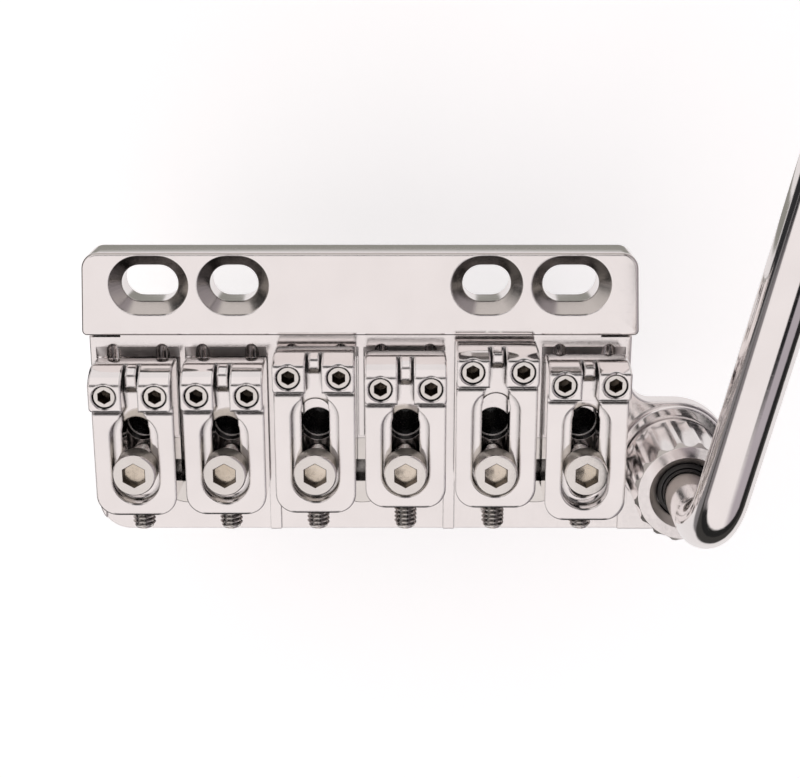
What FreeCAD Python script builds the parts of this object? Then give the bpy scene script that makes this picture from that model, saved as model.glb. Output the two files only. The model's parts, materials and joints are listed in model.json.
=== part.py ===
import FreeCAD, Part
import math
import os

# Guitar tremolo bridge, millimetres.
# X runs along the bar to the arm side, Y towards the neck, Z up from the guitar top.
# The origin is on the guitar top, in the middle of the line of mounting slots.

V = FreeCAD.Vector
UP = V(0, 0, 1)
ALONG_X = V(1, 0, 0)
ALONG_Y = V(0, 1, 0)

# Mounting bar
BAR_T = 5.0
BAR_FRONT = 4.1
BAR_DEPTH = 10.55
BAR_REAR = BAR_FRONT - BAR_DEPTH
SCREW_PITCH = 10.5
BAR_END = 8.65
BAR_TAPER = 0.55
BAR_HALF_REAR = 2.5 * SCREW_PITCH + BAR_END
BAR_HALF_FRONT = BAR_HALF_REAR - BAR_TAPER
BAR_FRONT_R = 2.1
BAR_REAR_R = 0.6
BAR_EDGE_R = 0.35
SLOT_W = 4.65
SLOT_CSK_W = 7.55
SLOT_PLAY_OUTER = 2.4
SLOT_PLAY_INNER = 1.4
LIP_T = 0.75

# Pivot, under the bar's rear lip
BARREL_R = 1.75
BARREL_GAP = 0.25
LIP_GAP = 0.4
PIVOT_IN = 1.5
PIVOT_Y = BAR_REAR + PIVOT_IN
PIVOT_Z = BAR_T - LIP_T - LIP_GAP - BARREL_R
BAR_CHEEK = 4.55
BARREL_HALF = BAR_HALF_REAR - BAR_CHEEK
PIN_R = 1.0
PIN_GRIP = 3.6
PIN_INSET = 0.55
PIN_IN = BARREL_HALF - PIN_GRIP
PIN_OUT = BAR_HALF_REAR - PIN_INSET
PIN_CHAMFER = 0.2
BUSH_R = 1.35
BUSH_LEN = 3.9
BUSH_INSET = 0.1
BUSH_OUT = BARREL_HALF - BUSH_INSET
BUSH_IN = BUSH_OUT - BUSH_LEN
RUN_FIT = 0.03
PIN_SCREW_R = 0.8
PIN_SCREW_OUT = 2.3
PIN_SCREW_X = BARREL_HALF + PIN_SCREW_OUT
PIN_SCREW_Z = 0.1
PIN_SCREW_HEX = 0.7
PIN_SCREW_HEX_DEPTH = 0.45

# Heights of the plate
PLATE_BELOW = 0.9
FLOOR_ABOVE = 0.9
LAND_STEP = 0.6
PLATE_BOTTOM = PIVOT_Z - PLATE_BELOW
FLOOR_Z = PIVOT_Z + FLOOR_ABOVE
LAND_Z = FLOOR_Z + LAND_STEP

# Base plate
STRING_PITCH = 11.3
PLATE_SIDE = 0.4
PLATE_HALF = 3 * STRING_PITCH + PLATE_SIDE
PLATE_GAP = 0.2
PLATE_FRONT = BAR_REAR - PLATE_GAP
PLATE_SLOPE = 0.35
PLATE_FRONT_TOP = PLATE_FRONT - PLATE_SLOPE
PLATE_REAR_R = 3.9
PLATE_EDGE_R = 0.3
LAND_W = 1.25
CHANNEL_FRONT = PLATE_FRONT_TOP - LAND_W
CHANNEL_RUN = 1.45
SIDE_WALL = 0.8
RIB_W = 1.4
RIB_THIN_W = 0.7
GROOVE_R = 0.9
GROOVE_LIFT = 0.1
GROOVE_AHEAD = 0.5
GROOVE_RUN = 8.15
GROOVE_FRONT = CHANNEL_FRONT + GROOVE_AHEAD
GROOVE_REAR = GROOVE_FRONT - GROOVE_RUN

# Rows of holes, from the front
LOCK_RUN = 14.65
LOCK_Y = CHANNEL_FRONT - LOCK_RUN
STRING_AHEAD = 4.2
STRING_Y = LOCK_Y + STRING_AHEAD
STRING_HOLE_R = 2.2
BLOCK_SCREW_BACK = 2.2
BLOCK_SCREW_Y = LOCK_Y - BLOCK_SCREW_BACK
PLATE_TAIL = 10.3
PLATE_REAR = LOCK_Y - PLATE_TAIL

# Screws in and around the saddles
TOUCH = 0.05
HEIGHT_R = 1.35
HEIGHT_GAP = 0.15
HEIGHT_HEX = 1.5
HEIGHT_HEX_DEPTH = 2.4
HEIGHT_SUNK = 0.2
TIP_R = 0.7
TIP_SUNK = 0.7
TIP_TAPER = 1.0
TIP_Z = FLOOR_Z - TIP_SUNK
GRUB_R = 1.45
GRUB_GAP = 0.15
GRUB_LIFT = 2.2
GRUB_Z = FLOOR_Z + GRUB_LIFT
GRUB_INSET = 1.2
GRUB_REAR = PLATE_REAR + GRUB_INSET
GRUB_CHAMFER = 0.3
GRUB_HEX_DEPTH = 1.5
LOCK_R = 1.5
LOCK_HEAD_R = 2.7
LOCK_HEAD_H = 2.95
LOCK_HEAD_GAP = 0.05
LOCK_EDGE_R = 0.25
LOCK_HEX = 2.5
LOCK_HEX_DEPTH = 1.4
LOCK_END = 0.1

# Saddles; y runs forward from the height screws
SADDLE_GAP = 1.2
SADDLE_W = STRING_PITCH - SADDLE_GAP
BODY_RISE = 6.6
LUG_RISE = 8.2
NOSE_RISE = 4.0
BELLY_RISE = 1.6
BORE_DEPTH = 1.6
BODY_TOP = FLOOR_Z + BODY_RISE
LUG_TOP = FLOOR_Z + LUG_RISE
NOSE_Z = FLOOR_Z + NOSE_RISE
BELLY_Z = FLOOR_Z + BELLY_RISE
SEAT_Z = BODY_TOP - BORE_DEPTH
HEIGHT_TOP = LUG_TOP - HEIGHT_SUNK
LOCK_TOP = SEAT_Z + LOCK_HEAD_GAP + LOCK_HEAD_H
HEEL_R = GRUB_Z - FLOOR_Z - TOUCH
HEEL_INSET = 0.35
NOSE_LOW_R = 1.0
NOSE_CORNER_R = 0.35
LUG_FRONT = 1.5
LUG_REAR = -1.9
LUG_CORNER_R = 0.5
LUG_SIDE = 1.95
HEIGHT_X = SADDLE_W / 2 - LUG_SIDE
REAR_CORNER_R = 2.6
CREST_SLOT_W = 2.0
CREST_W = 1.34
CREST_DROP = 1.5
CREST_AHEAD = 0.45
CREST_REAR = 0.85
CREST_FALL = 0.85
CREST_FALL_DROP = 0.7
CREST_BULGE = 0.08
CREST_LIP_DROP = 3.3
CREST_GROOVE_DROP = 3.7
CREST_GROOVE_DEPTH = 0.6
RAMP_RUN = 5.2
RAMP_DROP = 2.1
FLARE_START = 0.2
FLARE_RUN = 0.9
FLARE_W = 3.2
RELIEF_W = 0.75
RELIEF_DROP = 0.15
SHANK_SLOT_W = 3.5
BORE_W = 5.9
BORE_WALL = 1.5
BORE_ARCH = -5.7
SHANK_SLOT_ARCH = -5.5
SHANK_SLOT_BACK = 0.2
SHORT_NOSE = 3.38
LONG_NOSE = 2.45
SHORT_TAIL = 1.45
LONG_TAIL = 3.6
SHORT = {"front": SHORT_NOSE, "rear": LOCK_RUN + SHORT_TAIL}
LONG = {"front": LONG_NOSE, "rear": LOCK_RUN + LONG_TAIL}
SETBACKS = [(4.35, SHORT), (4.25, SHORT), (1.9, LONG), (3.35, SHORT), (1.2, LONG), (2.9, LONG)]
SADDLES = [(CHANNEL_FRONT - back, kind) for back, kind in SETBACKS]

# Block and its screws
BLOCK_END = 2.75
BLOCK_HALF = 2.5 * STRING_PITCH + BLOCK_END
BLOCK_AHEAD = 3.3
BLOCK_BACK = 3.5
BLOCK_FRONT = STRING_Y + BLOCK_AHEAD
BLOCK_REAR = BLOCK_SCREW_Y - BLOCK_BACK
BLOCK_BOTTOM = -34.0
BLOCK_TOE_IN = 3.2
BLOCK_TOE = BLOCK_REAR + BLOCK_TOE_IN
BLOCK_KNEE = -12.0
BLOCK_CHAMFER = 0.8
BLOCK_EDGE = 0.4
BLOCK_SCREW_R = 2.5
BLOCK_HEAD_R = 4.5
BLOCK_SCREW_END = -12.0
BLOCK_HEX = 3.0
BLOCK_HEX_DEPTH = 1.7
RIB_CLEAR = 0.4
RIB_THIN_END = BLOCK_SCREW_Y + BLOCK_HEAD_R + RIB_CLEAR
BALL_R = 2.5
BALL_TOP = -10.0
STRING_R = 1.0
CUP_STEP = 0.1
CUP_DEPTH = 6.0
SPRING_R = 1.3
SPRING_BACK = 3.5
SPRING_Y = STRING_Y - SPRING_BACK
SPRING_DEPTH = 9.0

# Arm holder and arm
ARM_OUT = 5.9
ARM_IN = 9.3
ARM_X = PLATE_HALF + ARM_OUT
ARM_Y = PLATE_REAR + ARM_IN
BOSS_R = 7.5
BOSS_SHIFT = 0.8
BOSS_EDGE = 0.35
BOSS_STEP = 0.8
BOSS_TOP = LAND_Z + BOSS_STEP
FLARE_R = 3.0
ARM_R = 3.0
ARM_FIT = 0.08
SLEEVE_WALL = 0.42
SLEEVE_R = ARM_R + ARM_FIT + SLEEVE_WALL
SLEEVE_GAP = 0.05
SOCKET_BORE = SLEEVE_R + SLEEVE_GAP
SOCKET_WALL = 1.3
THREAD_R = SOCKET_BORE + SOCKET_WALL
SOCKET_STEP = 0.3
SOCKET_R = THREAD_R + SOCKET_STEP
SOCKET_FLOOR = 0.3
SLEEVE_FLOOR = PLATE_BOTTOM + SOCKET_FLOOR
ARM_LIFT = 0.3
ARM_FLOOR = SLEEVE_FLOOR + ARM_LIFT
NUT_GAP = 0.2
NUT_H = 9.8
NUT_BOTTOM = BOSS_TOP + NUT_GAP
NUT_TOP = NUT_BOTTOM + NUT_H
NUT_LIP_H = 1.4
NUT_LIP = NUT_TOP - NUT_LIP_H
NUT_LIP_GAP = 0.15
NUT_LIP_R = SLEEVE_R + NUT_LIP_GAP
NUT_MOUTH = 1.0
NUT_THREAD_GAP = 0.15
NUT_BORE = THREAD_R + NUT_THREAD_GAP
NUT_WALL = 1.5
NUT_R = NUT_BORE + NUT_WALL
NUT_CROWN = 0.45
NUT_FOOT = 0.3
NUT_COLLAR_H = 1.1
NUT_FLUTES = 16
FLUTE_R = 1.7
FLUTE_DEPTH = 0.42
SOCKET_UNDER = 0.4
SOCKET_TOP = NUT_LIP - SOCKET_UNDER
SLEEVE_UNDER = 0.7
SLEEVE_TOP = NUT_TOP - SLEEVE_UNDER
SLEEVE_CHAMFER = 0.25
ARM_RISE_Z = 13.8
ARM_CORNER_Z = NUT_TOP + ARM_RISE_Z
ARM_SWING = 11.0
ARM_RISE = 6.0
ARM_BEND_R = 6.3
ARM_REACH = 118.0
ARM_CHAMFER = 0.5
TIP_CAP_WALL = 0.9
TIP_CAP_R = ARM_R + TIP_CAP_WALL
TIP_CAP_LEN = 17.0
TIP_CAP_GRIP = 11.0
TIP_CAP_FLAT = 0.3


def string_x(i):
    return (i - 2.5) * STRING_PITCH


def box(x0, x1, y0, y1, z0, z1):
    return Part.makeBox(x1 - x0, y1 - y0, z1 - z0, V(x0, y0, z0))


def rod(r, start, end):
    start, end = V(*start), V(*end)
    return Part.makeCylinder(r, (end - start).Length, start, end - start)


def cone(r0, r1, z0, z1, x, y):
    return Part.makeCone(r0, r1, z1 - z0, V(x, y, z0), UP)


def rounded(points, z0, z1):
    # Prism over a plan outline of (x, y, corner radius).
    n = len(points)
    ends = []
    for i, (x, y, r) in enumerate(points):
        p = V(x, y, z0)
        back = V(*points[i - 1][:2], z0) - p
        ahead = V(*points[(i + 1) % n][:2], z0) - p
        back.normalize()
        ahead.normalize()
        half = back.getAngle(ahead) / 2
        t = r / math.tan(half)
        mid = back + ahead
        mid.normalize()
        ends.append((p + back * t, p + mid * (r / math.sin(half) - r), p + ahead * t, r))
    edges = []
    for i, (a, m, b, r) in enumerate(ends):
        if r > 0:
            edges.append(Part.Arc(a, m, b).toShape())
        nxt = ends[(i + 1) % n][0]
        if (nxt - b).Length > 1e-6:
            edges.append(Part.makeLine(b, nxt))
    return Part.Face(Part.Wire(edges)).extrude(V(0, 0, z1 - z0))


def side_prism(points, half_x):
    # Prism along X over a closed (y, z) outline; an (arc) point marks the middle of an arc.
    edges = []
    pts = points + [points[0]]
    i = 0
    while i < len(pts) - 1:
        a = V(-half_x, pts[i][0], pts[i][1])
        if len(pts[i + 1]) == 3:
            m = V(-half_x, pts[i + 1][0], pts[i + 1][1])
            b = V(-half_x, pts[i + 2][0], pts[i + 2][1])
            edges.append(Part.Arc(a, m, b).toShape())
            i += 2
        else:
            edges.append(Part.makeLine(a, V(-half_x, pts[i + 1][0], pts[i + 1][1])))
            i += 1
    return Part.Face(Part.Wire(edges)).extrude(V(2 * half_x, 0, 0))


def long_slot_x(x, y, w, play, z0, z1):
    ends = [rod(w / 2, (x + s * play / 2, y, z0), (x + s * play / 2, y, z1)) for s in (-1, 1)]
    return box(x - play / 2, x + play / 2, y - w / 2, y + w / 2, z0, z1).fuse(ends)


def long_slot_y(x, y0, y1, w, z0, z1):
    ends = [rod(w / 2, (x, y, z0), (x, y, z1)) for y in (y0, y1)]
    return box(x - w / 2, x + w / 2, min(y0, y1), max(y0, y1), z0, z1).fuse(ends)


def hex_prism(flats, start, direction, depth):
    r = flats / math.sqrt(3)
    pts = [V(r * math.cos(math.radians(60 * k)), r * math.sin(math.radians(60 * k)), 0) for k in range(7)]
    prism = Part.Face(Part.makePolygon(pts)).extrude(V(0, 0, depth))
    prism.Placement = FreeCAD.Placement(V(*start), FreeCAD.Rotation(UP, direction))
    return prism


def top_rim(solid, z):
    return [e for e in solid.Edges if all(abs(v.Z - z) < 1e-6 for v in e.Vertexes)]


def carve(solid, cuts):
    for tool in cuts:
        solid = solid.cut(tool)
    return solid.removeSplitter()


def save(name, *solids):
    shape = solids[0] if len(solids) == 1 else Part.makeCompound(list(solids))
    shape.exportStep("parts/%s.step" % name)


def countersunk_slot(x, play):
    step = (SLOT_CSK_W - SLOT_W) / 2
    z0 = BAR_T - step
    cones = [cone(SLOT_W / 2, SLOT_CSK_W / 2, z0, BAR_T, x + s * play / 2, 0) for s in (-1, 1)]
    wedge = side_prism([(-SLOT_W / 2, z0), (SLOT_W / 2, z0), (SLOT_CSK_W / 2, BAR_T), (-SLOT_CSK_W / 2, BAR_T)],
                       play / 2)
    wedge.translate(V(x, 0, 0))
    return long_slot_x(x, 0, SLOT_W, play, -1, BAR_T).fuse(cones + [wedge])


def mounting_bar():
    bar = rounded([(-BAR_HALF_REAR, BAR_REAR, BAR_REAR_R), (BAR_HALF_REAR, BAR_REAR, BAR_REAR_R),
                   (BAR_HALF_FRONT, BAR_FRONT, BAR_FRONT_R), (-BAR_HALF_FRONT, BAR_FRONT, BAR_FRONT_R)], 0, BAR_T)
    bar = bar.makeFillet(BAR_EDGE_R, top_rim(bar, BAR_T))
    half = BARREL_HALF + BARREL_GAP
    r = BARREL_R + BARREL_GAP
    tunnel = box(-half, half, BAR_REAR - 1, PIVOT_Y + r, -1, PIVOT_Z)
    tunnel = tunnel.fuse([rod(r, (-half, PIVOT_Y, PIVOT_Z), (half, PIVOT_Y, PIVOT_Z)),
                          box(-half, half, BAR_REAR - 1, PIVOT_Y, PIVOT_Z, BAR_T - LIP_T)])
    cuts = [tunnel]
    for side in (-1, 1):
        cuts.append(countersunk_slot(side * 2.5 * SCREW_PITCH, SLOT_PLAY_OUTER))
        cuts.append(countersunk_slot(side * 1.5 * SCREW_PITCH, SLOT_PLAY_INNER))
        cuts.append(rod(PIN_R, (side * PIN_IN, PIVOT_Y, PIVOT_Z), (side * (BAR_HALF_REAR + 1), PIVOT_Y, PIVOT_Z)))
        cuts.append(rod(PIN_SCREW_R, (side * PIN_SCREW_X, PIVOT_Y, -1), (side * PIN_SCREW_X, PIVOT_Y, PIVOT_Z)))
    return bar.cut(cuts).removeSplitter()


def pivot_pin(side):
    pin = rod(PIN_R, (side * PIN_IN, PIVOT_Y, PIVOT_Z), (side * PIN_OUT, PIVOT_Y, PIVOT_Z))
    ends = [e for e in pin.Edges if len(e.Vertexes) == 1]
    return pin.makeChamfer(PIN_CHAMFER, ends)


def pin_screw(side):
    x = side * PIN_SCREW_X
    top = PIVOT_Z - PIN_R - TOUCH
    screw = rod(PIN_SCREW_R, (x, PIVOT_Y, PIN_SCREW_Z), (x, PIVOT_Y, top))
    return screw.cut(hex_prism(PIN_SCREW_HEX, (x, PIVOT_Y, PIN_SCREW_Z), UP, PIN_SCREW_HEX_DEPTH))


def pivot_bush(side):
    a = (side * BUSH_IN, PIVOT_Y, PIVOT_Z)
    b = (side * BUSH_OUT, PIVOT_Y, PIVOT_Z)
    return rod(BUSH_R, a, b).cut(rod(PIN_R + RUN_FIT, a, b))


def saddle_channels():
    rear = PLATE_REAR - 1
    inner = RIB_W / 2
    thin = RIB_THIN_W / 2
    wall = PLATE_HALF - SIDE_WALL
    pairs = [(-wall, -STRING_PITCH - inner), (-STRING_PITCH + inner, STRING_PITCH - inner),
             (STRING_PITCH + inner, wall)]
    cuts = []
    for n, (x0, x1) in enumerate(pairs):
        mid = (n - 1) * 2 * STRING_PITCH
        pocket = side_prism([(rear, FLOOR_Z), (CHANNEL_FRONT - CHANNEL_RUN, FLOOR_Z), (CHANNEL_FRONT, LAND_Z),
                             (CHANNEL_FRONT, LAND_Z + 1), (rear, LAND_Z + 1)], (x1 - x0) / 2)
        pocket.translate(V((x0 + x1) / 2, 0, 0))
        rib = box(mid - thin, mid + thin, RIB_THIN_END, CHANNEL_FRONT + 1, FLOOR_Z - 1, LAND_Z + 2)
        cuts.append(pocket.cut(rib))
    return cuts


def height_groove(x):
    z = FLOOR_Z + GROOVE_LIFT
    y0, y1 = GROOVE_FRONT - GROOVE_R, GROOVE_REAR
    ends = [Part.makeSphere(GROOVE_R, V(x, y, z)) for y in (y0, y1)]
    return rod(GROOVE_R, (x, y0, z), (x, y1, z)).fuse(ends)


def base_plate():
    arm_side = ARM_X + BOSS_R
    boss_front = ARM_Y + BOSS_SHIFT + BOSS_R
    front = PLATE_FRONT
    outline = [(-PLATE_HALF, front, 0.4), (-PLATE_HALF, PLATE_REAR, PLATE_REAR_R), (arm_side, PLATE_REAR, BOSS_R),
               (arm_side, boss_front, BOSS_R), (PLATE_HALF, boss_front, FLARE_R), (PLATE_HALF, front, 0.4)]
    plate = rounded(outline, PLATE_BOTTOM, LAND_Z)
    plate = plate.makeFillet(PLATE_EDGE_R, top_rim(plate, LAND_Z))
    slope = side_prism([(PLATE_FRONT_TOP, LAND_Z + 1), (PLATE_FRONT_TOP, LAND_Z), (front, PIVOT_Z),
                        (front + 1, PIVOT_Z), (front + 1, LAND_Z + 1)], PLATE_HALF + 1)
    plate = plate.cut(slope)
    barrel = rod(BARREL_R, (-BARREL_HALF, PIVOT_Y, PIVOT_Z), (BARREL_HALF, PIVOT_Y, PIVOT_Z))
    web = box(-BARREL_HALF, BARREL_HALF, PLATE_FRONT_TOP - 0.5, PIVOT_Y, PLATE_BOTTOM, LAND_Z)
    pad_y = ARM_Y + BOSS_SHIFT
    pad = rod(BOSS_R - BOSS_EDGE, (ARM_X, pad_y, PLATE_BOTTOM), (ARM_X, pad_y, BOSS_TOP))
    pad = pad.makeFillet(PLATE_EDGE_R, top_rim(pad, BOSS_TOP))
    plate = plate.fuse([barrel, web, pad])
    cuts = saddle_channels()
    for side in (-1, 1):
        cuts.append(rod(BUSH_R, (side * BUSH_IN, PIVOT_Y, PIVOT_Z), (side * (BARREL_HALF + 1), PIVOT_Y, PIVOT_Z)))
    for i in range(6):
        x = string_x(i)
        cuts += [height_groove(x - HEIGHT_X), height_groove(x + HEIGHT_X)]
        cuts.append(rod(STRING_HOLE_R, (x, STRING_Y, 0), (x, STRING_Y, LAND_Z)))
        cuts.append(rod(LOCK_R, (x, LOCK_Y, 0), (x, LOCK_Y, LAND_Z)))
    for n in (-1, 0, 1):
        cuts.append(block_screw_body(2 * n * STRING_PITCH))
    cuts.append(rod(SOCKET_R, (ARM_X, ARM_Y, 0), (ARM_X, ARM_Y, BOSS_TOP + 1)))
    return plate.cut(cuts).removeSplitter()


def block_screw_body(x):
    z0 = FLOOR_Z - (BLOCK_HEAD_R - BLOCK_SCREW_R)
    head = cone(BLOCK_SCREW_R, BLOCK_HEAD_R, z0, FLOOR_Z, x, BLOCK_SCREW_Y)
    shank = rod(BLOCK_SCREW_R, (x, BLOCK_SCREW_Y, BLOCK_SCREW_END), (x, BLOCK_SCREW_Y, z0))
    return head.fuse(shank)


def block_screw(x):
    body = block_screw_body(x)
    return body.cut(hex_prism(BLOCK_HEX, (x, BLOCK_SCREW_Y, FLOOR_Z - BLOCK_HEX_DEPTH), UP, 3))


def sustain_block():
    outline = [(BLOCK_FRONT, PLATE_BOTTOM), (BLOCK_FRONT, BLOCK_BOTTOM + BLOCK_CHAMFER),
               (BLOCK_FRONT - BLOCK_CHAMFER, BLOCK_BOTTOM), (BLOCK_TOE + BLOCK_CHAMFER, BLOCK_BOTTOM),
               (BLOCK_TOE, BLOCK_BOTTOM + BLOCK_CHAMFER), (BLOCK_REAR, BLOCK_KNEE), (BLOCK_REAR, PLATE_BOTTOM)]
    block = side_prism(outline, BLOCK_HALF)
    upright = [e for e in block.Edges if abs(e.Vertexes[0].X - e.Vertexes[-1].X) < 1e-6
               and max(v.Z for v in e.Vertexes) < PLATE_BOTTOM + 1e-6 and min(v.Z for v in e.Vertexes) < 1]
    block = block.makeChamfer(BLOCK_EDGE, upright)
    cuts = []
    for i in range(6):
        x = string_x(i)
        cuts.append(rod(STRING_R, (x, STRING_Y, BALL_TOP), (x, STRING_Y, PLATE_BOTTOM + 1)))
        cuts.append(rod(STRING_HOLE_R - CUP_STEP, (x, STRING_Y, PLATE_BOTTOM - CUP_DEPTH), (x, STRING_Y, PLATE_BOTTOM + 1)))
        cuts.append(rod(BALL_R, (x, STRING_Y, BLOCK_BOTTOM - 1), (x, STRING_Y, BALL_TOP)))
    for k in range(-2, 3):
        x = k * STRING_PITCH
        cuts.append(rod(SPRING_R, (x, SPRING_Y, BLOCK_BOTTOM - 1), (x, SPRING_Y, BLOCK_BOTTOM + SPRING_DEPTH)))
    for n in (-1, 0, 1):
        cuts.append(block_screw_body(2 * n * STRING_PITCH))
    return block.cut(cuts)


def saddle_outline(kind):
    front, rear = kind["front"], kind["rear"]
    run = front - LUG_FRONT
    rise = LUG_TOP - NOSE_Z
    nose_r = (run * run + rise * rise) / (2 * run)
    half = math.asin(rise / nose_r) / 2
    nose_mid = (front - nose_r + nose_r * math.cos(half), NOSE_Z + nose_r * math.sin(half), "arc")
    low = NOSE_LOW_R * (1 - math.sqrt(0.5))
    heel_y = -rear + HEEL_R
    toe = math.sqrt(HEEL_R ** 2 - (GRUB_Z - BELLY_Z) ** 2)
    heel_low = HEEL_R * math.sqrt(0.5)
    return [(front, BELLY_Z + NOSE_LOW_R), (front, NOSE_Z), nose_mid, (LUG_FRONT, LUG_TOP), (LUG_REAR, LUG_TOP),
            (LUG_REAR, BODY_TOP), (-rear, BODY_TOP), (-rear, GRUB_Z),
            (heel_y - heel_low, GRUB_Z - heel_low, "arc"), (heel_y, GRUB_Z - HEEL_R),
            (heel_y + HEEL_R * 0.6, GRUB_Z - HEEL_R * 0.8, "arc"), (heel_y + toe, BELLY_Z),
            (front - NOSE_LOW_R, BELLY_Z), (front - low, BELLY_Z + low, "arc")]


def crest_cuts(kind):
    # The string leaves over a curved crest between the lugs, with a fine groove on each side of it.
    # Behind the crest the floor falls off, and a ramp that widens behind the lugs leads down into the lock slot.
    front = kind["front"]
    top = LUG_TOP + 1
    crest = LUG_TOP - CREST_DROP
    lip = LUG_TOP - CREST_LIP_DROP
    fall = CREST_REAR - CREST_FALL
    ramp_top = crest - CREST_FALL_DROP
    ramp_end = fall - RAMP_RUN
    edge = LUG_FRONT + CREST_AHEAD * (front - LUG_FRONT)
    middle = ((front + edge) / 2 + CREST_BULGE, (lip + crest) / 2 + CREST_BULGE, "arc")
    above = [(front + 1, lip), (front, lip), middle, (edge, crest), (CREST_REAR, crest), (fall, ramp_top),
             (ramp_end, ramp_top - RAMP_DROP), (ramp_end, top), (front + 1, top)]
    flare = LUG_REAR - FLARE_START
    wide = flare - FLARE_RUN
    low = ramp_top - RAMP_DROP
    plan = [(x, y, 0) for x, y in ((-CREST_SLOT_W / 2, flare), (-FLARE_W / 2, wide), (-FLARE_W / 2, ramp_end),
                                   (FLARE_W / 2, ramp_end), (FLARE_W / 2, wide), (CREST_SLOT_W / 2, flare))]
    cuts = [side_prism(above, CREST_SLOT_W / 2), rounded(plan, low - 1, top).common(side_prism(above, FLARE_W))]
    groove_w = (CREST_SLOT_W - CREST_W) / 2
    for side in (-1, 1):
        groove = side_prism([(front + 1, LUG_TOP - CREST_GROOVE_DROP), (fall, crest - CREST_GROOVE_DEPTH), (fall, top),
                             (front + 1, top)], groove_w / 2)
        groove.translate(V(side * (CREST_SLOT_W - groove_w) / 2, 0, 0))
        cuts.append(groove)
    return cuts


def saddle(i):
    y, kind = SADDLES[i]
    front, rear = kind["front"], kind["rear"]
    half = SADDLE_W / 2
    solid = side_prism(saddle_outline(kind), half)
    plan = rounded([(-half, -rear, REAR_CORNER_R), (half, -rear, REAR_CORNER_R), (half, front, NOSE_CORNER_R),
                    (-half, front, NOSE_CORNER_R)], 0, BODY_TOP)
    lugs = rounded([(-half, LUG_REAR, LUG_CORNER_R), (half, LUG_REAR, LUG_CORNER_R), (half, front, NOSE_CORNER_R),
                    (-half, front, NOSE_CORNER_R)], BODY_TOP, LUG_TOP + 1)
    solid = solid.common(plan.fuse(lugs).removeSplitter()).removeSplitter()
    bore_rear = -rear + BORE_WALL + BORE_W / 2
    slot_rear = bore_rear - SHANK_SLOT_BACK
    cuts = crest_cuts(kind)
    cuts.append(box(-half - 1, half + 1, LUG_REAR - RELIEF_W, LUG_REAR, BODY_TOP - RELIEF_DROP, BODY_TOP + 1))
    cuts += [long_slot_y(0, BORE_ARCH, bore_rear, BORE_W, SEAT_Z, LUG_TOP + 1),
             long_slot_y(0, SHANK_SLOT_ARCH, slot_rear, SHANK_SLOT_W, 0, SEAT_Z + 1),
             rod(GRUB_R + GRUB_GAP, (0, slot_rear, GRUB_Z), (0, -rear - 1, GRUB_Z))]
    for side in (-1, 1):
        cuts.append(rod(HEIGHT_R + HEIGHT_GAP, (side * HEIGHT_X, 0, 0), (side * HEIGHT_X, 0, LUG_TOP + 1)))
        x0, x1 = sorted((side * (half - HEEL_INSET), side * (half + 1)))
        cuts.append(box(x0, x1, -rear - 1, front + 1, 0, BELLY_Z))
    solid = carve(solid, cuts)
    solid.translate(V(string_x(i), y, 0))
    return solid


def height_screw(i, side):
    x = string_x(i) + side * HEIGHT_X
    y = SADDLES[i][0]
    tip = TIP_Z + TIP_R
    neck = tip + TIP_TAPER
    parts = [rod(HEIGHT_R, (x, y, neck), (x, y, HEIGHT_TOP)), cone(TIP_R, HEIGHT_R, tip, neck, x, y)]
    screw = Part.makeSphere(TIP_R, V(x, y, tip)).fuse(parts)
    return screw.cut(hex_prism(HEIGHT_HEX, (x, y, HEIGHT_TOP - HEIGHT_HEX_DEPTH), UP, 3)).removeSplitter()


def lock_screw(i):
    x = string_x(i)
    seat = SEAT_Z + LOCK_HEAD_GAP
    head = rod(LOCK_HEAD_R, (x, LOCK_Y, seat), (x, LOCK_Y, LOCK_TOP))
    head = head.makeFillet(LOCK_EDGE_R, top_rim(head, LOCK_TOP))
    screw = head.fuse(rod(LOCK_R, (x, LOCK_Y, PLATE_BOTTOM + LOCK_END), (x, LOCK_Y, seat)))
    return screw.cut(hex_prism(LOCK_HEX, (x, LOCK_Y, LOCK_TOP - LOCK_HEX_DEPTH), UP, 3))


def intonation_screw(i):
    x = string_x(i)
    front = LOCK_Y - LOCK_R - TOUCH
    screw = rod(GRUB_R, (x, front, GRUB_Z), (x, GRUB_REAR, GRUB_Z))
    ends = [e for e in screw.Edges if len(e.Vertexes) == 1]
    screw = screw.makeChamfer(GRUB_CHAMFER, ends)
    return screw.cut(hex_prism(HEIGHT_HEX, (x, GRUB_REAR - 1, GRUB_Z), ALONG_Y, GRUB_HEX_DEPTH + 1))


def arm_socket():
    body = rod(SOCKET_R, (ARM_X, ARM_Y, PLATE_BOTTOM), (ARM_X, ARM_Y, BOSS_TOP))
    body = body.fuse(rod(THREAD_R, (ARM_X, ARM_Y, BOSS_TOP), (ARM_X, ARM_Y, SOCKET_TOP)))
    return body.cut(rod(SOCKET_BORE, (ARM_X, ARM_Y, SLEEVE_FLOOR), (ARM_X, ARM_Y, SOCKET_TOP + 1)))


def arm_sleeve():
    sleeve = rod(SLEEVE_R, (ARM_X, ARM_Y, SLEEVE_FLOOR), (ARM_X, ARM_Y, SLEEVE_TOP))
    sleeve = sleeve.makeChamfer(SLEEVE_CHAMFER, top_rim(sleeve, SLEEVE_TOP))
    return sleeve.cut(rod(ARM_R + ARM_FIT, (ARM_X, ARM_Y, 0), (ARM_X, ARM_Y, SLEEVE_TOP + 1)))


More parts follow.
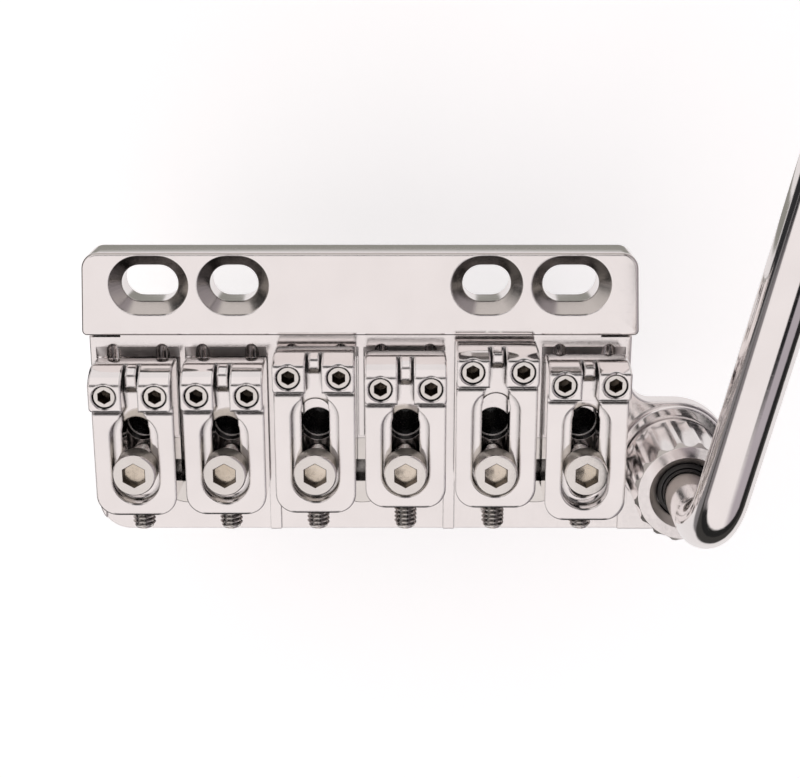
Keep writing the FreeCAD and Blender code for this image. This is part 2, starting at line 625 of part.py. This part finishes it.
def tension_nut():
    nut = rod(NUT_R, (0, 0, NUT_BOTTOM), (0, 0, NUT_TOP))
    nut = nut.makeChamfer(NUT_CROWN, top_rim(nut, NUT_TOP))
    nut = nut.makeChamfer(NUT_FOOT, top_rim(nut, NUT_BOTTOM))
    cuts = [rod(NUT_BORE, (0, 0, 0), (0, 0, NUT_LIP)), rod(NUT_LIP_R, (0, 0, 0), (0, 0, NUT_TOP + 1)),
            cone(NUT_LIP_R, NUT_LIP_R + NUT_MOUTH, NUT_TOP - NUT_MOUTH, NUT_TOP, 0, 0)]
    reach = NUT_R - FLUTE_DEPTH + FLUTE_R
    for k in range(NUT_FLUTES):
        a = 2 * math.pi * k / NUT_FLUTES
        x, y = reach * math.cos(a), reach * math.sin(a)
        cuts.append(rod(FLUTE_R, (x, y, NUT_BOTTOM + NUT_COLLAR_H), (x, y, NUT_TOP + 1)))
    nut = nut.cut(cuts)
    nut.translate(V(ARM_X, ARM_Y, 0))
    return nut


def arm_path():
    swing, rise = math.radians(ARM_SWING), math.radians(ARM_RISE)
    out = V(math.sin(swing) * math.cos(rise), math.cos(swing) * math.cos(rise), math.sin(rise))
    corner = V(ARM_X, ARM_Y, ARM_CORNER_Z)
    turn = UP.getAngle(out)
    t = ARM_BEND_R * math.tan(turn / 2)
    mid = out - UP
    mid.normalize()
    arc_mid = corner + mid * (ARM_BEND_R / math.cos(turn / 2) - ARM_BEND_R)
    return corner - UP * t, arc_mid, corner + out * t, out


def tremolo_arm():
    lower, mid, upper, out = arm_path()
    foot = V(ARM_X, ARM_Y, ARM_FLOOR)
    tip = V(ARM_X, ARM_Y, ARM_CORNER_Z) + out * ARM_REACH
    path = Part.Wire([Part.makeLine(foot, lower), Part.Arc(lower, mid, upper).toShape(), Part.makeLine(upper, tip)])
    ring = Part.Wire([Part.makeCircle(ARM_R, foot, UP)])
    arm = path.makePipeShell([ring], True, False)
    return arm.makeChamfer(ARM_CHAMFER, top_rim(arm, ARM_FLOOR))


def arm_tip():
    out = arm_path()[3]
    end = V(ARM_X, ARM_Y, ARM_CORNER_Z) + out * ARM_REACH
    start = end - out * TIP_CAP_GRIP
    stop = start + out * TIP_CAP_LEN
    cap = rod(TIP_CAP_R, start, stop)
    far = [e for e in cap.Edges if len(e.Vertexes) == 1 and (e.Vertexes[0].Point - stop).Length < TIP_CAP_R + TOUCH]
    cap = cap.makeFillet(TIP_CAP_R - TIP_CAP_FLAT, far)
    return cap.cut(rod(ARM_R, start - out, end))


os.makedirs("parts", exist_ok=True)
save("mounting_bar", mounting_bar())
save("pivot_pins", pivot_pin(-1), pivot_pin(1))
save("pin_set_screws", pin_screw(-1), pin_screw(1))
save("base_plate", base_plate())
save("pivot_bushes", pivot_bush(-1), pivot_bush(1))
save("sustain_block", sustain_block())
save("block_screws", *[block_screw(2 * n * STRING_PITCH) for n in (-1, 0, 1)])
save("lock_screws", *[lock_screw(i) for i in range(6)])
save("intonation_screws", *[intonation_screw(i) for i in range(6)])
for i in range(6):
    save("saddle_%d" % (i + 1), saddle(i))
    save("height_screws_%d" % (i + 1), height_screw(i, -1), height_screw(i, 1))
save("arm_socket", arm_socket())
save("arm_sleeve", arm_sleeve())
save("tension_nut", tension_nut())
save("tremolo_arm", tremolo_arm())
save("arm_tip", arm_tip())
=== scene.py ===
import json
import math
from collections import namedtuple

import bmesh
import bpy
from mathutils import Matrix, Vector


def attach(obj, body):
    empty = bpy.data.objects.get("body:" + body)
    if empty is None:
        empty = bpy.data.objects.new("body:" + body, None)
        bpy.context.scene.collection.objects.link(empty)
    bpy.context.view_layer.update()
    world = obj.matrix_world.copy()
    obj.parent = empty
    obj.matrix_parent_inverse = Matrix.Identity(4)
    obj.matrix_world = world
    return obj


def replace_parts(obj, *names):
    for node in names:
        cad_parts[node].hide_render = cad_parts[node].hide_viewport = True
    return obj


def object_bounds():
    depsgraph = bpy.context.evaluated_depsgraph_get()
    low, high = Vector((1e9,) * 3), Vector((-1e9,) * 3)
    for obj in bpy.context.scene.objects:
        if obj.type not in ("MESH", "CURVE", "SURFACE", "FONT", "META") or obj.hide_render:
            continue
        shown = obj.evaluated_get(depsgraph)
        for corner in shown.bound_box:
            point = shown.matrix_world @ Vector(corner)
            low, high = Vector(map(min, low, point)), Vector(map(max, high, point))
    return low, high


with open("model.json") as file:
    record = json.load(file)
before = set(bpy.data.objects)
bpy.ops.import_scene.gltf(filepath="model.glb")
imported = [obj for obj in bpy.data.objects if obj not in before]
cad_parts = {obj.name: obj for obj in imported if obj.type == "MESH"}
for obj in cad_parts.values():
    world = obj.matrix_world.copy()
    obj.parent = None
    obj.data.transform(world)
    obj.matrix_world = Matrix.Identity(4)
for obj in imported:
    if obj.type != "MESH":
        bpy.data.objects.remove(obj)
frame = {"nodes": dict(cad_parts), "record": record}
cad_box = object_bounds()
scene = bpy.context.scene
scene.view_settings.view_transform = "Standard"

# Sizes in millimetres, as in the part's source
MM = 0.001
STRING_PITCH = 11.3
SADDLE_Y = (-12.6, -12.5, -10.15, -11.6, -9.45, -11.15)
HEIGHT_X = 3.1
HEIGHT_TOP = 11.0
TIP_Z = 2.3
LOCK_Y = -22.9
LOCK_SEAT = 8.05
LOCK_TOP = 11.0
GRUB_Z = 5.2
GRUB_FRONT = -24.45
GRUB_REAR = -32.0

# Screws: each profile is radii and heights from the tip, the seat or the top
RING = 48
THREAD_PITCH = 0.5
HEIGHT_R = 1.35
HEIGHT_DEPTH = 0.24
HEIGHT_TIP = ((0.3, 0), (0.6, 0.15), (0.7, 0.7), (0.95, 1.1))
HEIGHT_RIM = ((HEIGHT_R, -0.2), (HEIGHT_R, -0.06), (1.29, 0))
HEIGHT_KEY = 1.5
HEIGHT_KEY_DEPTH = 2.4
LOCK_R = 1.48
LOCK_DEPTH = 0.27
LOCK_FOOT_R, LOCK_FOOT_Z = 1.1, 1.3
LOCK_NECK_R = 1.4
LOCK_HEAD_R = 2.7
LOCK_SIDE = ((LOCK_NECK_R, 0), (2.62, 0), (LOCK_HEAD_R, 0.1))
LOCK_SIDE_END = 0.3
LOCK_RIM = ((2.65, -0.1), (2.53, -0.01), (2.45, 0))
LOCK_KEY = 2.7
LOCK_KEY_DEPTH = 1.4
GRUB_R = 1.45
GRUB_PITCH = 0.56
GRUB_DEPTH = 0.32
GRUB_LEAD = 0.5
GRUB_TIP = ((0.5, 0), (1.0, 0.05))
GRUB_RIM_R = 1.05
GRUB_KEY = 1.3
GRUB_KEY_DEPTH = 1.2
KEY_LAND = 0.1

# Shading: scales of the noises per metre, and the range that a noise mostly fills
CLOUDS, FINE, SCRATCHES, GRAIN = 160, 2200, 900, 700
POLYMER_CLOUDS, POLYMER_FINE = 300, 3000
MIDDLE = (0.3, 0.7)
SCRATCH_DEPTH = 0.002 * MM
GRAIN_DEPTH = 0.01 * MM
SHARP_ANGLE = math.radians(16)
WELD = 0.001 * MM
NICKEL = (0.90, 0.865, 0.855)
NICKEL_DIM = (0.86, 0.825, 0.815)
STEEL = (0.80, 0.77, 0.74)
STEEL_DIM = (0.72, 0.69, 0.66)
CUT_TINT = (0.56, 0.53, 0.50)
# Colour of the painted shade in corners, creases and recesses
SHADE_COLOUR = (0.03, 0.028, 0.027)
BLACK = (0.015, 0.015, 0.016)

# Painted shade by how much of its surroundings a corner sees: where it starts, where it is full, how strong, and the
# reach
PaintedShade = namedtuple("PaintedShade", "start full strength reach")
# Sloping faces as a cutter leaves them: added roughness, tint, the steepest and flattest upward part of their
# normals, and how dark the painted shade is on those that face the rear
Cut = namedtuple("Cut", "dull tint steep flat rear")
# Painted dark line, standing for reflection and shade, on the rounded edges that lean to the front, or to both front
# and rear
Line = namedtuple("Line", "strength both")

# Floor and camera, in metres
FLOOR_HALF = 3
FLOOR_GAP = 0.0005
FLOOR_WHITE = 0.45
CAMERA_AT = (0.00494, 0.042856, 0.184588)
CAMERA_TILT = math.radians(-17.4)
LENS, SENSOR = 66.91, 36


# Shader helpers

def new_material(name):
    mat = bpy.data.materials.new(name)
    mat.use_nodes = True
    tree = mat.node_tree
    return mat, tree, tree.nodes["Principled BSDF"]


def add(tree, kind, **values):
    node = tree.nodes.new(kind)
    for key, value in values.items():
        setattr(node, key, value)
    return node


def object_coords(tree):
    return add(tree, "ShaderNodeTexCoord").outputs["Object"]


def axes_of(tree, vector):
    node = add(tree, "ShaderNodeSeparateXYZ")
    tree.links.new(vector, node.inputs[0])
    return [node.outputs[k] for k in "XYZ"]


def noise(tree, coords, scale, detail=3.0, stretch=(1, 1, 1), turn=(0, 0, 0)):
    spread = add(tree, "ShaderNodeMapping")
    spread.inputs["Scale"].default_value = stretch
    spread.inputs["Rotation"].default_value = turn
    tree.links.new(coords, spread.inputs["Vector"])
    tex = add(tree, "ShaderNodeTexNoise")
    tex.inputs["Scale"].default_value = scale
    tex.inputs["Detail"].default_value = detail
    tree.links.new(spread.outputs["Vector"], tex.inputs["Vector"])
    return tex.outputs["Fac"]


def remap(tree, value, lo, hi, out_lo=0.0, out_hi=1.0, curve="LINEAR"):
    node = add(tree, "ShaderNodeMapRange", interpolation_type=curve)
    node.inputs["From Min"].default_value = lo
    node.inputs["From Max"].default_value = hi
    node.inputs["To Min"].default_value = out_lo
    node.inputs["To Max"].default_value = out_hi
    tree.links.new(value, node.inputs["Value"])
    return node.outputs["Result"]


def soft(tree, value, lo, hi):
    """Smooth mask, 0 at lo and 1 at hi."""
    return remap(tree, value, lo, hi, curve="SMOOTHSTEP")


def math_node(tree, operation, a, b=0):
    node = add(tree, "ShaderNodeMath", operation=operation)
    for socket, value in zip(node.inputs, (a, b)):
        if isinstance(value, (int, float)):
            socket.default_value = value
        else:
            tree.links.new(value, socket)
    return node.outputs["Value"]


def total(tree, *values):
    result = values[0]
    for value in values[1:]:
        result = math_node(tree, "ADD", result, value)
    return result


def product(tree, *values):
    result = values[0]
    for value in values[1:]:
        result = math_node(tree, "MULTIPLY", result, value)
    return result


def mix_colour(tree, fac, a, b):
    """Blend of two colours, each a tuple or the output of a node."""
    node = add(tree, "ShaderNodeMix", data_type="RGBA")
    tree.links.new(fac, node.inputs["Factor"])
    for key, value in (("A", a), ("B", b)):
        if isinstance(value, tuple):
            node.inputs[key].default_value = (*value, 1)
        else:
            tree.links.new(value, node.inputs[key])
    return node.outputs["Result"]


def tint_zone(tree, tone, colour, *bounds):
    """The tone, with another colour inside the bounds: each is a value, where the zone ends and where it is full."""
    return mix_colour(tree, product(tree, *(soft(tree, *bound) for bound in bounds)), tone, colour)


def bump(tree, height, strength, distance, normal=None):
    node = add(tree, "ShaderNodeBump")
    node.inputs["Strength"].default_value = strength
    node.inputs["Distance"].default_value = distance
    tree.links.new(height, node.inputs["Height"])
    if normal is not None:
        tree.links.new(normal, node.inputs["Normal"])
    return node.outputs["Normal"]


# Materials

def scratch_mask(tree, coords):
    """Two sets of fine straight scratches that cross."""
    lines = noise(tree, coords, SCRATCHES, 2, (0.12, 6, 6), (0, 0, 0.4))
    cross = noise(tree, coords, SCRATCHES, 2, (6, 0.1, 6), (0, 0, -0.3))
    return math_node(tree, "MAXIMUM", remap(tree, lines, 0.62, 0.72), remap(tree, cross, 0.64, 0.74))


def painted_shade_mask(tree, painted_shade):
    # Painted shade: ambient occlusion darkens corners, creases and recesses
    corners = add(tree, "ShaderNodeAmbientOcclusion", samples=4, only_local=painted_shade.reach > 1)
    corners.inputs["Distance"].default_value = painted_shade.reach * MM
    return remap(tree, corners.outputs["AO"], painted_shade.start, painted_shade.full, 0, painted_shade.strength)


def painted_edge_line_mask(tree, line, normal, facing):
    """Painted dark line on the rounded edges that run from side to side, by how far the rounded normal leans."""
    x, y, _ = axes_of(tree, normal)
    along = math_node(tree, "ABSOLUTE", y) if line.both else y
    askew = math_node(tree, "DIVIDE", math_node(tree, "ABSOLUTE", x), along)
    return product(tree, remap(tree, facing, 0.998, 0.99), soft(tree, askew, 0.3, 0.12),
                   soft(tree, along, 0.0, 0.03), line.strength)


def metal(name, light, dark, rough, edge=0.12, brush=None, scratch=0.35, cut=None,
          painted_shade=PaintedShade(0.7, 0.25, 0.75, 0.6), line=None):
    """Plated or bare metal: cloudy tint, fine scratches, painted shade in the corners, worn softened edges.
    edge is their radius in millimetres, and brush stretches a machined grain over the metal."""
    mat, tree, shader = new_material(name)
    coords = object_coords(tree)
    shader.inputs["Metallic"].default_value = 1.0
    tint = mix_colour(tree, remap(tree, noise(tree, coords, CLOUDS, 4), *MIDDLE), light, dark)
    marks = scratch_mask(tree, coords)
    rounded = add(tree, "ShaderNodeBevel", samples=8 if edge > 0.2 else 4)
    rounded.inputs["Radius"].default_value = edge * MM
    normal = rounded.outputs["Normal"]
    geometry = add(tree, "ShaderNodeNewGeometry")
    compare = add(tree, "ShaderNodeVectorMath", operation="DOT_PRODUCT")
    tree.links.new(normal, compare.inputs[0])
    tree.links.new(geometry.outputs["Normal"], compare.inputs[1])
    facing = compare.outputs["Value"]
    base = total(tree, remap(tree, noise(tree, coords, FINE, 2), *MIDDLE, rough * 0.8, rough * 1.25),
                 remap(tree, marks, 0, 1, 0, 0.05), remap(tree, facing, 0.995, 0.9, 0, 0.06))
    if cut:
        _, y, z = axes_of(tree, geometry.outputs["True Normal"])
        slope = product(tree, remap(tree, z, cut.flat, cut.flat - 0.03), remap(tree, z, cut.steep, cut.steep + 0.03))
        base = total(tree, base, product(tree, slope, cut.dull))
        tint = mix_colour(tree, slope, tint, cut.tint)
        # Painted shade: slopes that face the rear are darkened toward black
        tint = mix_colour(tree, product(tree, slope, soft(tree, y, 0.35, -0.45), cut.rear), tint, BLACK)
    if line:
        # Painted reflection and shade: a dark line on the rounded edges
        tint = mix_colour(tree, painted_edge_line_mask(tree, line, normal, facing), tint, BLACK)
    # Painted shade: the base colour darkens in the corners
    tree.links.new(mix_colour(tree, painted_shade_mask(tree, painted_shade), tint, SHADE_COLOUR), shader.inputs["Base Color"])
    tree.links.new(base, shader.inputs["Roughness"])
    normal = bump(tree, marks, scratch, SCRATCH_DEPTH, normal)
    if brush:
        normal = bump(tree, noise(tree, coords, GRAIN, 3, brush), 0.35, GRAIN_DEPTH, normal)
    tree.links.new(normal, shader.inputs["Normal"])
    return mat


def polymer(name, light, dark, rough, grain):
    mat, tree, shader = new_material(name)
    coords = object_coords(tree)
    tone = remap(tree, noise(tree, coords, POLYMER_CLOUDS, 4), *MIDDLE)
    tree.links.new(mix_colour(tree, tone, light, dark), shader.inputs["Base Color"])
    fine = noise(tree, coords, POLYMER_FINE, 2)
    tree.links.new(remap(tree, fine, *MIDDLE, rough * 0.85, rough * 1.15), shader.inputs["Roughness"])
    tree.links.new(bump(tree, fine, grain, GRAIN_DEPTH), shader.inputs["Normal"])
    return mat


# The corner tuples set how far each finish paints shade into its corners and recesses
finish = {
    "chrome": metal("polished_nickel", NICKEL, NICKEL_DIM, 0.07, painted_shade=PaintedShade(0.6, 0.2, 0.7, 0.4)),
    "saddle": metal("polished_saddle", NICKEL, NICKEL_DIM, 0.07, 0.45, painted_shade=PaintedShade(0.72, 0.38, 0.95, 1.2),
                    line=Line(0.9, True)),
    "bar": metal("polished_bar", NICKEL, NICKEL_DIM, 0.08, 0.3, scratch=0.2,
                 cut=Cut(0.08, CUT_TINT, 0.45, 0.9, 0.75), line=Line(0.9, False)),
    "plate": metal("polished_plate", NICKEL, NICKEL_DIM, 0.14, cut=Cut(0.3, NICKEL_DIM, 0.87, 0.97, 0.0),
                   painted_shade=PaintedShade(0.55, 0.2, 0.5, 0.4)),
    "nut": metal("polished_nut", NICKEL, NICKEL_DIM, 0.15, cut=Cut(0.2, CUT_TINT, 0.45, 0.9, 0.0)),
    "recessed": metal("recessed_steel", STEEL, STEEL_DIM, 0.14, painted_shade=PaintedShade(0.85, 0.5, 0.92, 3.0)),
    "satin": metal("satin_steel", (0.78, 0.75, 0.69), (0.66, 0.63, 0.57), 0.42, painted_shade=PaintedShade(0.6, 0.1, 0.3, 0.6)),
    "thread": metal("thread_steel", STEEL, STEEL_DIM, 0.14, 0.03, painted_shade=PaintedShade(0.9, 0.5, 0.93, 0.6)),
    # Painted shade: sockets coloured dark inside; the lock screws keep a lighter floor
    "socket": metal("painted_shade_socket", (0.16, 0.13, 0.10), (0.09, 0.075, 0.06), 0.3, 0.05),
    "warm_socket": metal("warm_socket", (0.80, 0.72, 0.62), (0.60, 0.52, 0.42), 0.24, 0.05),
    "steel": metal("plated_steel", STEEL, STEEL_DIM, 0.14, 0.08),
    "dark_steel": metal("black_oxide", (0.10, 0.10, 0.10), (0.05, 0.05, 0.055), 0.35, 0.05),
    "bronze": metal("sintered_bronze", (0.66, 0.44, 0.22), (0.52, 0.34, 0.17), 0.32, 0.06),
    "block_steel": metal("milled_steel", (0.62, 0.61, 0.60), (0.54, 0.53, 0.52), 0.26, 0.2, (0.3, 8, 8),
                         painted_shade=PaintedShade(0.85, 0.5, 0.97, 6.0)),
    "black_polymer": polymer("bearing_polymer", (0.02, 0.02, 0.02), (0.035, 0.033, 0.032), 0.42, 0.2),
    "tip_polymer": polymer("tip_polymer", (0.016, 0.016, 0.017), (0.03, 0.029, 0.029), 0.3, 0.15),
}


def smooth_group():
    """Geometry nodes that weld the facets and shade them smooth, with the sharper edges kept."""
    group = bpy.data.node_groups.new("smooth_by_angle", "GeometryNodeTree")
    group.interface.new_socket("Geometry", in_out="INPUT", socket_type="NodeSocketGeometry")
    group.interface.new_socket("Geometry", in_out="OUTPUT", socket_type="NodeSocketGeometry")
    start = group.nodes.new("NodeGroupInput")
    end = group.nodes.new("NodeGroupOutput")
    plain = group.nodes.new("GeometryNodeRemoveAttribute")
    plain.inputs["Name"].default_value = "custom_normal"
    weld = group.nodes.new("GeometryNodeMergeByDistance")
    weld.inputs["Distance"].default_value = WELD
    smooth = group.nodes.new("GeometryNodeSetShadeSmooth")
    smooth.inputs["Shade Smooth"].default_value = True
    angle = group.nodes.new("GeometryNodeInputMeshEdgeAngle")
    blunt = group.nodes.new("FunctionNodeCompare")
    blunt.operation = "LESS_THAN"
    blunt.inputs["B"].default_value = SHARP_ANGLE
    sharp = group.nodes.new("GeometryNodeSetShadeSmooth")
    sharp.domain = "EDGE"
    link = group.links.new
    link(start.outputs[0], plain.inputs["Geometry"])
    link(plain.outputs[0], weld.inputs["Geometry"])
    link(weld.outputs[0], smooth.inputs["Geometry"])
    link(smooth.outputs[0], sharp.inputs["Geometry"])
    link(angle.outputs["Unsigned Angle"], blunt.inputs["A"])
    link(blunt.outputs["Result"], sharp.inputs["Shade Smooth"])
    link(sharp.outputs[0], end.inputs[0])
    return group


SMOOTH = smooth_group()


def shade(obj):
    mod = obj.modifiers.new("smooth", "NODES")
    mod.node_group = SMOOTH


slots = {s["node"]: s["material_slot"] for s in frame["record"]["subparts"]}
special = {"mounting_bar": "bar", "base_plate": "plate", "tension_nut": "nut", "block_screws": "recessed"}
special.update({"saddle_%d" % (n + 1): "saddle" for n in range(len(SADDLE_Y))})
for name, node in frame["nodes"].items():
    node.data.materials.clear()
    node.data.materials.append(finish[special.get(name, slots[name])])
    shade(node)


# Threaded screws, lofted from rings of RING points round the local Z axis

def angles():
    return [2 * math.pi * k / RING for k in range(RING)]


def circle(r, z):
    return [(r * math.cos(t), r * math.sin(t), z) for t in angles()]


def profile(table, z):
    return [circle(r, z + rise) for r, rise in table]


def hexagon(flats, z):
    ring = []
    for t in angles():
        off = (t + math.pi / 6) % (math.pi / 3) - math.pi / 6
        r = flats / 2 / math.cos(off)
        ring.append((r * math.cos(t), r * math.sin(t), z))
    return ring


def thread(r, pitch, depth, z0, z1, lead=0.4):
    """Rings of a helical thread that fades out over the lead at both ends."""
    rings = []
    steps = max(8, round((z1 - z0) / pitch * 8))
    for i in range(steps + 1):
        z = z0 + (z1 - z0) * i / steps
        fade = max(0.0, min(1.0, (z - z0) / lead, (z1 - z) / lead))
        ring = []
        for t in angles():
            phase = (z / pitch - t / (2 * math.pi)) % 1
            cut = min(1.0, max(0.0, (abs(phase - 0.5) * 2 - 0.12) / 0.76))
            radius = r - depth * (1 - fade) * 0.9 - depth * cut * fade
            ring.append((radius * math.cos(t), radius * math.sin(t), z))
        rings.append(ring)
    return rings


def socket(flats, top, depth):
    """Rings down into a hexagon socket with a drilled bottom."""
    floor = top - depth
    return [hexagon(flats, top - 0.06), hexagon(flats, floor), circle(flats * 0.42, floor - 0.02),
            circle(flats * 0.1, floor - 0.2)]


def loft(name, sections, matrix, body):
    """A closed skin over rings of points. Each section is a finish and the rings that it covers."""
    mesh = bpy.data.meshes.new(name)
    work = bmesh.new()
    rows, tags = [], []
    for n, (skin, rings) in enumerate(sections):
        mesh.materials.append(finish[skin])
        for ring in rings:
            rows.append([work.verts.new([c * MM for c in p]) for p in ring])
            tags.append(n)
    for low, high, tag in zip(rows, rows[1:], tags[1:]):
        for k in range(RING):
            j = (k + 1) % RING
            work.faces.new((low[k], low[j], high[j], high[k])).material_index = tag
    work.faces.new(list(reversed(rows[0])))
    work.faces.new(rows[-1]).material_index = tags[-1]
    work.transform(matrix)
    work.to_mesh(mesh)
    work.free()
    obj = bpy.data.objects.new(name, mesh)
    scene.collection.objects.link(obj)
    shade(obj)
    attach(obj, body)
    return obj


def place(x, y, z):
    return Matrix.Translation(Vector((x, y, z)) * MM)


def height_screw(name, x, y, body):
    shank = thread(HEIGHT_R, THREAD_PITCH, HEIGHT_DEPTH, TIP_Z + 1.4, HEIGHT_TOP - 0.25)
    rim = profile(HEIGHT_RIM, HEIGHT_TOP) + [hexagon(HEIGHT_KEY + KEY_LAND, HEIGHT_TOP)]
    sections = [("steel", profile(HEIGHT_TIP, TIP_Z)), ("thread", shank), ("steel", rim),
                ("socket", socket(HEIGHT_KEY, HEIGHT_TOP, HEIGHT_KEY_DEPTH))]
    return loft(name, sections, place(x, y, 0), body)


def lock_screw(name, x):
    shank = thread(LOCK_R, THREAD_PITCH, LOCK_DEPTH, LOCK_FOOT_Z + 0.1, LOCK_SEAT - 0.5)
    shank = [circle(LOCK_FOOT_R, LOCK_FOOT_Z)] + shank + [circle(LOCK_NECK_R, LOCK_SEAT - 0.02)]
    side = profile(LOCK_SIDE, LOCK_SEAT) + [circle(LOCK_HEAD_R, LOCK_TOP - LOCK_SIDE_END)]
    rim = profile(LOCK_RIM, LOCK_TOP) + [hexagon(LOCK_KEY + 1.5 * KEY_LAND, LOCK_TOP)]
    key = socket(LOCK_KEY, LOCK_TOP, LOCK_KEY_DEPTH)
    sections = [("thread", shank), ("satin", side), ("steel", rim), ("socket", key[:2]), ("warm_socket", key[2:])]
    return loft(name, sections, place(x, LOCK_Y, 0), "bridge")


def grub_screw(name, x):
    length = GRUB_FRONT - GRUB_REAR
    shank = profile(GRUB_TIP, 0) + thread(GRUB_R, GRUB_PITCH, GRUB_DEPTH, 0.15, length - 0.1, GRUB_LEAD)
    rim = [circle(GRUB_RIM_R, length), hexagon(GRUB_KEY + KEY_LAND, length)]
    sections = [("thread", shank), ("steel", rim), ("socket", socket(GRUB_KEY, length, GRUB_KEY_DEPTH))]
    matrix = place(x, GRUB_FRONT, GRUB_Z) @ Matrix.Rotation(math.pi / 2, 4, "X")
    return loft(name, sections, matrix, "bridge")


for i, y in enumerate(SADDLE_Y):
    x = (i - 2.5) * STRING_PITCH
    n = i + 1
    for side, label in ((-1, "a"), (1, "b")):
        screw = height_screw("height_screw_%d%s" % (n, label), x + side * HEIGHT_X, y, "height_%d" % n)
        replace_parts(screw, "height_screws_%d" % n)
    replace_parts(lock_screw("lock_screw_%d" % n, x), "lock_screws")
    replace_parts(grub_screw("intonation_screw_%d" % n, x), "intonation_screws")


# Floor, light and camera

def painted_floor_glow(tree):
    """The floor as the metal sees it, glowing: pale, with painted shadow grey before the bar, dim on the left and
    dark far behind.
    """
    x, y, _ = axes_of(tree, object_coords(tree))
    wide = math_node(tree, "ABSOLUTE", x)
    tone = tint_zone(tree, (0.85, 0.82, 0.82), (0.29, 0.285, 0.26),
                     (wide, 0.055, 0.045), (y, 0.004, 0.0065), (y, 0.0155, 0.0135))
    dim = tint_zone(tree, (0.22, 0.21, 0.215), (0.03, 0.03, 0.032), (y, -0.045, -0.02))
    tone = tint_zone(tree, tone, dim, (x, -0.05, -0.08), (y, 0.1, 0.08))
    return tint_zone(tree, tone, (0.05, 0.048, 0.046), (y, -0.15, -0.2))


def plain_floor():
    """Pale floor that takes the part's shadow. The camera sees it near white, the metal as a glow with painted
    shade.
    """
    mesh = bpy.data.meshes.new("floor")
    z = cad_box[0].z - FLOOR_GAP
    corners = [(sx * FLOOR_HALF, sy * FLOOR_HALF, z) for sx, sy in ((-1, -1), (1, -1), (1, 1), (-1, 1))]
    mesh.from_pydata(corners, [], [(0, 1, 2, 3)])
    floor = bpy.data.objects.new("floor", mesh)
    scene.collection.objects.link(floor)
    mat, tree, shader = new_material("floor")
    shader.inputs["Base Color"].default_value = (0.95, 0.95, 0.95, 1)
    shader.inputs["Roughness"].default_value = 0.9
    shader.inputs["Specular IOR Level"].default_value = 0.0
    # The metal sees the floor glowing, with painted shade
    mirrored, white = add(tree, "ShaderNodeEmission"), add(tree, "ShaderNodeEmission")
    tree.links.new(painted_floor_glow(tree), mirrored.inputs["Color"])
    white.inputs["Strength"].default_value = FLOOR_WHITE
    both = add(tree, "ShaderNodeAddShader")
    tree.links.new(shader.outputs[0], both.inputs[0])
    tree.links.new(white.outputs[0], both.inputs[1])
    path = add(tree, "ShaderNodeLightPath")
    surface = shader.outputs[0]
    for ray, look in (("Is Glossy Ray", mirrored), ("Is Camera Ray", both)):
        seen = add(tree, "ShaderNodeMixShader")
        tree.links.new(path.outputs[ray], seen.inputs[0])
        tree.links.new(surface, seen.inputs[1])
        tree.links.new(look.outputs[0], seen.inputs[2])
        surface = seen.outputs[0]
    tree.links.new(surface, tree.nodes["Material Output"].inputs["Surface"])
    mesh.materials.append(mat)


def studio():
    """White to the camera. To the metal, a bright room with a greyer right side, dark horizons on the right, left
    and rear, a black strip high on the right rear and a dark patch overhead, where whoever took the photograph
    stood."""
    world = bpy.data.worlds.new("studio")
    scene.world = world
    world.use_nodes = True
    tree = world.node_tree
    x, y, z = axes_of(tree, add(tree, "ShaderNodeTexCoord").outputs["Generated"])
    wide = math_node(tree, "ABSOLUTE", x)
    edge = math_node(tree, "SUBTRACT", y, product(tree, wide, 0.25))
    tone = tint_zone(tree, (0.93, 0.885, 0.88), (0.45, 0.41, 0.44), (x, 0.15, 0.5))
    tone = tint_zone(tree, tone, (0.03, 0.03, 0.03), (x, 0.6, 0.8), (z, 0.12, 0.04))
    dim = tint_zone(tree, (0.22, 0.205, 0.21), (0.03, 0.03, 0.032), (y, -0.13, -0.06))
    tone = tint_zone(tree, tone, dim, (x, -0.5, -0.7), (z, 0.25, 0.15))
    tone = tint_zone(tree, tone, (0.02, 0.02, 0.02), (y, -0.3, -0.5), (z, 0.32, 0.24))
    tone = tint_zone(tree, tone, BLACK, (x, 0.21, 0.25), (x, 0.5, 0.44), (y, -0.6, -0.52), (z, 0.6, 0.7))
    tone = tint_zone(tree, tone, BLACK, (edge, 0.0, 0.05), (y, 0.3, 0.24), (wide, 0.5, 0.42))
    tone = mix_colour(tree, add(tree, "ShaderNodeLightPath").outputs["Is Camera Ray"], tone, (1.0, 1.0, 1.0))
    tree.links.new(tone, tree.nodes["Background"].inputs["Color"])


def photo_camera():
    data = bpy.data.cameras.new("camera")
    data.lens = LENS
    data.sensor_width = SENSOR
    data.clip_start, data.clip_end = 0.01, 20
    cam = bpy.data.objects.new("camera", data)
    scene.collection.objects.link(cam)
    cam.location = CAMERA_AT
    cam.rotation_euler = (CAMERA_TILT, 0, 0)
    scene.camera = cam


plain_floor()
studio()
photo_camera()
